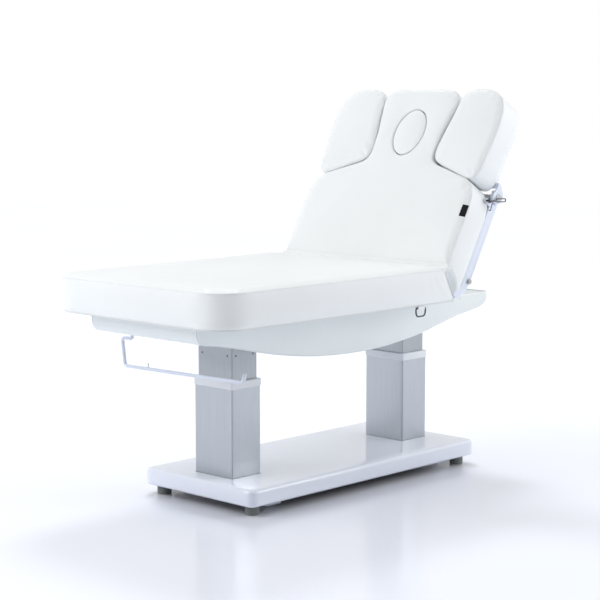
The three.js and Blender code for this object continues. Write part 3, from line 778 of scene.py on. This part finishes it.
for side, word in ((-1, "left"), (1, "right")):
    profile, seam_step = edge_profile(-BACK_THICK, 0.0, 11, edge=7.0)
    pad, (rings,) = cushion(f"side_pad_{word}_upholstery", [pad_ring(side)], profile, grid=9.0,
                            crown=4.0, reach=60.0, place=raised, finish=LEATHER)
    pinned = [*rings[seam_step], *rings[2]]
    seam = upholster(pad, rings, seam_step, pinned, 0.0035, f"pad_{word}", f"pad_cushion_{word}")
    seam_pieces(f"side_pad_{word}_seam", seam, f"pad_{word}")

# ------------------------ crease gusset
# The soft fold of cover that joins the two cushions. It is drawn beside the fold plane: a runs
# across from the leg side to the back side, d down the fold from the crease towards the pivot.
FOLD = LEAN - math.pi / 2      # direction of the fold in the XZ plane
CORNER_ROUND = 7.0             # between the gusset's face and its ends
across = np.linspace(-GUSSET_LEG - 3, GUSSET_BACK + 3, 44)
drop = np.linspace(GUSSET_DEPTH, 4, 22)
span = np.linspace(1, -1, 97)
# How far the pleats at its ends draw in, as (a, depth).
PLEATS = [(-37, 0), (-34.5, 1), (-32, 18), (-28, 24), (-18, 22), (-12.5, 3), (-10, 0.5), (-8, 1.5),
          (-5.5, 10), (-3.5, 10), (-1, 1.5), (1, 1), (4, 2), (7, 8), (9, 8), (12, 3)]


def folded(a, y, d):
    """(a, y, d) of the fold to the row frame."""
    ca, sa = math.cos(FOLD), math.sin(FOLD)
    return level(np.stack([CREASE_X + a * -sa + d * ca, y, CREASE_Z + a * ca + d * sa], -1))


def gusset_side(a, d):
    """Half width of the gusset's outside at a point of its end: pleats that fan from the crease."""
    t = np.clip((a + GUSSET_LEG) / (GUSSET_LEG + GUSSET_BACK), 0, 1)
    leg_half, narrowing = 398.0, 15.0
    base = leg_half - narrowing * t ** 1.5
    deep = ramp(d, -2, 16) * (1 - 0.35 * ramp(d, 70, 95))
    valley = np.interp(a, *zip(*PLEATS))
    return base + 2.5 * deep - valley * (0.1 + 0.9 * deep)


def gusset_top(a, y):
    """Depth of the gusset's face: the two faces meet in a rounded fold, pinched along it."""
    slope, rounding = 0.5774, 4.0
    v = np.sqrt(a ** 2 + rounding ** 2) - rounding
    pinch = 3.0 * np.exp(-((a + 1.5) / 2.4) ** 2) * (1 + 0.25 * np.sin(y / 37.0) * np.sin(y / 11.0 + 1))
    return -slope * v + pinch


def gusset_layer(depth_in):
    """One skin of the gusset, set in by depth_in from its outside: end, face, other end."""
    ends, r = [], CORNER_ROUND
    edge = gusset_top(across, 380) + depth_in
    half = gusset_side(across, 2.0) - depth_in - r
    for side in (1, -1):
        rows = []
        for d in drop:
            bulge = 13 * np.sin(np.pi * np.clip(d / 92, 0, 1)) * ramp(across, -34, -10)
            rows.append(folded(across + bulge, side * (gusset_side(across, d) - depth_in),
                               np.maximum(d, edge + r)))
        for turn in np.radians((30, 60)):
            rows.append(folded(across, side * (half + r * np.cos(turn)), edge + r - r * np.sin(turn)))
        ends.append(rows)
    face = [folded(across, half * f, gusset_top(across, 370 * f) + depth_in) for f in span]
    return np.array(ends[0] + face + ends[1][::-1])


outer, inner = gusset_layer(0.0), gusset_layer(GUSSET_SKIN)
gusset = make("crease_gusset", np.vstack([outer.reshape(-1, 3), inner.reshape(-1, 3)]),
              sheet_faces(*outer.shape[:2], True), LEATHER)
subdivide(gusset)
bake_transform(gusset)


# ------------------------ solids and cutters
def cut_away(obj, cutters):
    """Cuts the solids out of the piece and removes them, then shades it with crisp edges."""
    for solid in (obj, *cutters):
        bm = bmesh.new()
        bm.from_mesh(solid.data)
        bmesh.ops.recalc_face_normals(bm, faces=bm.faces)
        bm.to_mesh(solid.data)
        bm.free()
    for cutter in cutters:
        mod = obj.modifiers.new("cut", "BOOLEAN")
        mod.operation, mod.solver, mod.object = "DIFFERENCE", "EXACT", cutter
    mesh = bpy.data.meshes.new_from_object(obj.evaluated_get(bpy.context.evaluated_depsgraph_get()))
    obj.modifiers.clear()
    obj.data = mesh
    for cutter in cutters:
        bpy.data.objects.remove(cutter)
    mesh.shade_smooth()
    mesh.set_sharp_from_angle(angle=math.radians(32))


def block_between(name, ring, stations, place):
    """A solid lofted through rings: stations are (inset, position along the loft)."""
    verts, n = [], len(ring)
    for inset, at in stations:
        r = inward(ring, inset) if inset else ring
        verts += [tuple(place(np.array([x, z]), at)) for x, z in r]
    faces = []
    for k in range(len(stations) - 1):
        for i in range(n):
            j = (i + 1) % n
            faces.append((k * n + i, (k + 1) * n + i, (k + 1) * n + j, k * n + j))
    faces += [tuple(range(n)), tuple(reversed(range((len(stations) - 1) * n, len(stations) * n)))]
    return make(name, verts, faces, SHELL)


def across_bed(p, y):
    """Places a section drawn in (x, z)."""
    return level(np.array([p[0], y, p[1]]))


def upright(p, z):
    """Places a plan drawn in (x, y)."""
    return level(np.array([p[0], p[1], z]))


def rounded_rect(lx, ly, r, cx=0.0, steps=4):
    """A plan lx by ly with rounded corners, centred on (cx, 0)."""
    x, y = lx / 2 - r, ly / 2 - r
    return np.vstack([arc(cx + x, y, r, 0, 90, steps), arc(cx - x, y, r, 90, 180, steps),
                      arc(cx - x, -y, r, 180, 270, steps), arc(cx + x, -y, r, 270, 360, steps)])


def column_holes(name, long, wide, corner, low, high):
    """Cutters where the two columns pass through."""
    ends = [(0, low), (0, high)]
    return [block_between(f"{name}_{k}", rounded_rect(long, wide, corner, x), ends, upright)
            for k, x in enumerate((-COLUMN_X, COLUMN_X))]


QUARTER = np.radians([0, 22.5, 45, 67.5, 90])      # steps round an edge

# ------------------------ hull
# Its outline from the side, in (x, z): an upright foot end, the long belly and a blunt nose.
belly = spline([(-740, 559), (-666, 548), (-604, 535), (-527, 517), (-408, 494), (-276, 476), (-153, 468),
                (-25, 467), (68, 471), (150, 480), (265, 496), (356, 516), (466, 539), (568, 555)], 5)
hull_ring = np.vstack([[(-776, HULL_TOP), (-775, 596), (-771.5, 581), (-766, 571.5), (-757, 564)], belly,
                       [(590, 559.5), (606, 565.5), (616, 574), (621, 585), (622, 598), (621, HULL_TOP)]])
stations = [(HULL_EDGE * (1 - math.sin(t)), -HULL_HALF + HULL_EDGE * (1 - math.cos(t))) for t in QUARTER]
stations += [(inset, -y) for inset, y in stations[::-1]]
hull = block_between("hull_shell", hull_ring, [(max(inset, 1e-4), y) for inset, y in stations], across_bed)
hollow_ring = inward(hull_ring, HULL_WALL)
hollow_ring[0, 1] = hollow_ring[-1, 1] = HULL_TOP + 30
hollow = block_between("hull_hollow", hollow_ring, [(0, HULL_WALL - HULL_HALF), (0, HULL_HALF - HULL_WALL)],
                       across_bed)
wells = column_holes("well", 142, 187, 12, 430, 562)
socket_hole = block_between("socket_hole", arc(HOLDER_X, HOLDER_Y, 7, 0, 345, 24), [(0, 500), (0, 560)],
                            upright)


def groove(name, y, width, deep):
    """A cutter that scores a line round the hull across the bed."""
    proud, n = 3, len(hull_ring)
    rings = inward(hull_ring, -proud), inward(hull_ring, deep)
    verts = [across_bed(p, q) for q in (y, y + width) for ring in rings for p in ring]
    out_near, in_near, out_far, in_far = 0, n, 2 * n, 3 * n
    faces = []
    for i in range(n):
        j = (i + 1) % n
        faces += [(out_near + i, out_near + j, out_far + j, out_far + i),
                  (in_near + j, in_near + i, in_far + i, in_far + j),
                  (out_near + j, out_near + i, in_near + i, in_near + j),
                  (out_far + i, out_far + j, in_far + j, in_far + i)]
    return make(name, verts, faces, SHELL)


grooves = [groove(f"end_line_{k}", y, 2.4, 2.6) for k, y in enumerate((-243.0, 240.6))]
cut_away(hull, [hollow, *wells, socket_hole, *grooves])
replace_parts(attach(hull, "lift"), "hull_fairing")

# ------------------------ plinth
# A glossy slab with even rounded edges, and the column seats cut through it.
low_r, high_r = SLAB["edge_low"], SLAB["edge_high"]
slab_profile = [(low_r * (1 - math.sin(t)), SLAB["bottom"] + low_r * (1 - math.cos(t))) for t in QUARTER]
slab_profile += [(high_r * (1 - math.sin(t)), SLAB["top"] - high_r * (1 - math.cos(t)))
                 for t in QUARTER[::-1]]
slab_ring = spaced(rounded_rect(SLAB["long"], SLAB["wide"], SLAB["corner"], 0, 8), 12, closed=True)
plinth, _ = cushion("plinth", [slab_ring], slab_profile, grid=40.0, crown=0.0, reach=50.0, place=level,
                    finish=LACQUER)
cut_away(plinth, column_holes("seat", 132.2, 177.2, 6, 20, 100))
plinth.data.materials.clear()
plinth.data.materials.append(LACQUER.mat)
plinth.data.materials.append(PAINTED_SHADE_UNDERSIDE.mat)
# Downward faces take the near-black finish: painted shade for the contact shadow between slab and floor.
for face in plinth.data.polygons:
    face.material_index = int(face.normal.z < -0.9)
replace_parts(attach(plinth, "base"), "base_slab")


# ------------------------ column screws
def screw(name, at, facing, body, r=3.4):
    """A screw head with a cross recess, low on the face it sits in."""
    z = Vector(facing).normalized()
    x = z.orthogonal().normalized()
    y = z.cross(x)
    n, verts, faces = 24, [], []
    turns = [2 * math.pi * k / n for k in range(n)]
    head = [([r * size] * n, lift) for size, lift in ((1, -0.6), (1, 0.25), (0.86, 0.55), (0.62, 0.6))]
    recess = [r * (0.6 if abs(math.sin(2 * t)) < 0.45 else 0.2) for t in turns]
    rings = head + [(recess, -0.5)]
    for radii, lift in rings:
        for t, radius in zip(turns, radii):
            offset = x * math.cos(t) * radius + y * math.sin(t) * radius + z * lift
            verts.append(Vector(at) + offset / 1000)
    for low in range(0, (len(rings) - 1) * n, n):
        for k in range(n):
            m = (k + 1) % n
            faces.append((low + k, low + m, low + n + m, low + n + k))
    faces += [tuple(range(4 * n, 5 * n)), tuple(reversed(range(n)))]
    return make(name, verts, faces, DARK_METAL, body, smooth=False)


SCREW_Z, SCREW_Y, SCREW_X = 480, 58, 38      # height, and places across the tube's faces
for end, cx in (("foot", -COLUMN_X), ("head", COLUMN_X)):
    for k, side in enumerate((-1, 1)):
        for first, face in ((0, -1), (2, 1)):
            at = (cx + face * INNER_TUBE_X / 2, side * SCREW_Y, SCREW_Z)
            screw(f"tube_screw_{end}_{k + first}", level(at), (face, 0, 0), "lift")
    for k, side in enumerate((-1, 1)):
        for first, face in ((4, -1), (6, 1)):
            at = (cx + side * SCREW_X, face * INNER_TUBE_Y / 2, SCREW_Z)
            screw(f"tube_screw_{end}_{k + first}", level(at), (0, face, 0), "lift")


# ------------------------ bent wires
def bent(corners, radius, steps=6):
    """A path through corners, each turned with an easy bend."""
    p = np.asarray(corners, float)
    out = [p[0]]
    for before, at, after in zip(p, p[1:], p[2:]):
        u, v = before - at, after - at
        reach = min(radius, np.linalg.norm(u) / 2, np.linalg.norm(v) / 2)
        start, end = at + u / np.linalg.norm(u) * reach, at + v / np.linalg.norm(v) * reach
        for t in np.linspace(0, 1, steps + 1):
            out.append((1 - t) ** 2 * start + 2 * t * (1 - t) * at + t * t * end)
    return np.array([*out, p[-1]])


holder_corners = [(HOLDER_Y, 572), (HOLDER_Y, 521), (279, 521), (267, 430), (-280, 438), (-288, 466)]
holder = bent([(HOLDER_X, y, z) for y, z in holder_corners], 15)
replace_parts(tube("holder_wire", level(holder), 0.0058, POWDER, "roll_holder",
                 closed=False, sides=14), "roll_holder")
tube("holder_pin", level(np.array([(HOLDER_X, 154, z) for z in (434, 444, 451)])), 0.0021, POWDER,
     "roll_holder", closed=False, sides=10)
ring_corners = [(-9, 0), (-24.5, 0), (-22, -28), (22, -28), (24.5, 0), (9, 0)]
loop = bent([(RING_X + x, RING_Y, RING_Z + z) for x, z in ring_corners], 14)
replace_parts(tube("ring_wire", level(loop), 0.0028, DARK_METAL, "strap_ring",
                 closed=False, sides=12), "strap_ring")

# ------------------------ the other hard parts
# Millimetres that a wire's facets are filled out by, and by which a part's edges are eased.
WIRES = {"lock_lever_left": 0.4, "lock_lever_right": 0.4,
         "lever_spring_left": 0.3, "lever_spring_right": 0.3}
EASED = {"column_collar_foot": 1.0, "column_collar_head": 1.0, "bar_plug_left": 1.6, "bar_plug_right": 1.6,
         "back_frame": 0.8, "pad_arm_left": 0.8, "pad_arm_right": 0.8, "crossbar_foot": 1.0,
         "crossbar_head": 1.0, "nose_cover": 1.0, "control_box": 2.0}


def smoothed_copy(node):
    """A hard part with smooth shading, its wires rounded or its edges eased, in its own finish."""
    finish = SPECIAL.get(node, FINISH[SLOT_OF[node]])
    bm = bmesh.new()
    bm.from_mesh(NODES[node].data)
    bmesh.ops.remove_doubles(bm, verts=bm.verts, dist=1e-5)
    bmesh.ops.dissolve_limit(bm, angle_limit=math.radians(0.2), verts=bm.verts, edges=bm.edges)
    bm.verts.index_update()
    verts, faces = [v.co.copy() for v in bm.verts], [[v.index for v in f.verts] for f in bm.faces]
    bm.free()
    obj = make(node + "_finished", verts, faces, finish)
    if node in WIRES:
        modified(obj, "SUBSURF", levels=1)
        modified(obj, "DISPLACE", strength=WIRES[node] / 1000, mid_level=0.0)
    if node in EASED:
        modified(obj, "BEVEL", width=EASED[node] / 1000, segments=2, limit_method="ANGLE",
                 angle_limit=math.radians(40))
    obj.data.shade_smooth()
    obj.data.set_sharp_from_angle(angle=math.radians(50 if node in WIRES else 35))
    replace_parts(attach(obj, NODES[node]["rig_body"]), node)


for node in sorted(NODES):
    if not NODES[node].hide_render:
        smoothed_copy(node)

# ------------------------ camera
# A long lens, from beyond the foot end and the near side, a little above the bed.
camera = bpy.data.cameras.new("camera")
camera.lens, camera.sensor_width = 101.88, 36.0
camera.clip_end = 200.0
view = bpy.data.objects.new("camera", camera)
scene.collection.objects.link(view)
view.location = (-4.0788, -3.9028, 1.3050)
azimuth, pitch = math.radians(43.725), math.radians(-6.923)
look = Vector((math.cos(azimuth) * math.cos(pitch), math.sin(azimuth) * math.cos(pitch), math.sin(pitch)))
view.rotation_euler = look.to_track_quat("-Z", "Y").to_euler()
scene.camera = view
scene.view_settings.view_transform = "Standard"

# ------------------------ floor
FLOOR_REACH = 30
floor_finish = Surface("floor", (0.82, 0.845, 0.925), 0.16, Specular_IOR_Level=0.5)
floor_finish.vary_rough(floor_finish.noise(0.8, 2), 0.14, 0.2)
floor_finish.glow_far(1.3, 5.0, 0.3)
corners = [(x * FLOOR_REACH, y * FLOOR_REACH, 0) for x, y in ((-1, -1), (1, -1), (1, 1), (-1, 1))]
floor = make("floor", corners, [(0, 1, 2, 3)], floor_finish)


# ------------------------ studio light
def softbox(name, towards, distance, size, power, target=(0.05, 0, 0.6)):
    """A square light at a distance from its target, in a direction, facing it."""
    light = bpy.data.lights.new(name, "AREA")
    light.shape = "RECTANGLE"
    light.size = light.size_y = size
    light.energy = power
    obj = bpy.data.objects.new(name, light)
    scene.collection.objects.link(obj)
    d = Vector(towards).normalized()
    obj.location = Vector(target) + d * distance
    obj.rotation_euler = (-d).to_track_quat("-Z", "Y").to_euler()
    return obj


KEY = (0.29, 0.365, 0.62)
softbox("top_light", KEY, 5.0, 1.4, 30)
softbox("left_light", (-1.0, 0.5, 0.7), 4.5, 2.5, 80)
softbox("near_light", (0.5, -1, 0.25), 2.9, 1.4, 22, target=(0.6, 0, 0.95))
softbox("head_light", (1, -0.35, 0.45), 4.5, 2.5, 19)
softbox("over_light", (0, 0, 1), 4.5, 4, 7)
floor_light = softbox("floor_light", KEY, 5.0, 1.1, 82)      # draws the shadow on the floor alone
lit = bpy.data.collections.new("lit_by_floor_light")
lit.objects.link(floor)
floor_light.light_linking.receiver_collection = lit

world = bpy.data.worlds.new("studio")
scene.world = world
world.use_nodes = True
tree = world.node_tree
background = tree.nodes["Background"]
background.inputs["Color"].default_value = (1, 1, 1, 1)


def world_math(operation, a, b):
    """A Math node's output. a and b are numbers or sockets."""
    node = tree.nodes.new("ShaderNodeMath")
    node.operation = operation
    for socket, value in zip(node.inputs, (a, b)):
        if isinstance(value, (int, float)):
            socket.default_value = value
        else:
            tree.links.new(value, socket)
    return node.outputs[0]


# The studio is darker on one side, and pure white where the camera sees it.
DARK_SIDE = (-0.70, -0.69, 0.17)
direction = tree.nodes.new("ShaderNodeTexCoord").outputs["Generated"]
dot = tree.nodes.new("ShaderNodeVectorMath")
dot.operation = "DOT_PRODUCT"
tree.links.new(direction, dot.inputs[0])
dot.inputs[1].default_value = DARK_SIDE
dim = tree.nodes.new("ShaderNodeMapRange")
dim.interpolation_type = "SMOOTHSTEP"
for key, value in (("From Min", 0.3), ("From Max", 1.0), ("To Min", 0.79), ("To Max", 0.25)):
    dim.inputs[key].default_value = value
tree.links.new(dot.outputs["Value"], dim.inputs["Value"])
seen = tree.nodes.new("ShaderNodeLightPath").outputs["Is Camera Ray"]
rest = world_math("SUBTRACT", 1.0, seen)
tree.links.new(world_math("ADD", seen, world_math("MULTIPLY", rest, dim.outputs["Result"])),
               background.inputs["Strength"])
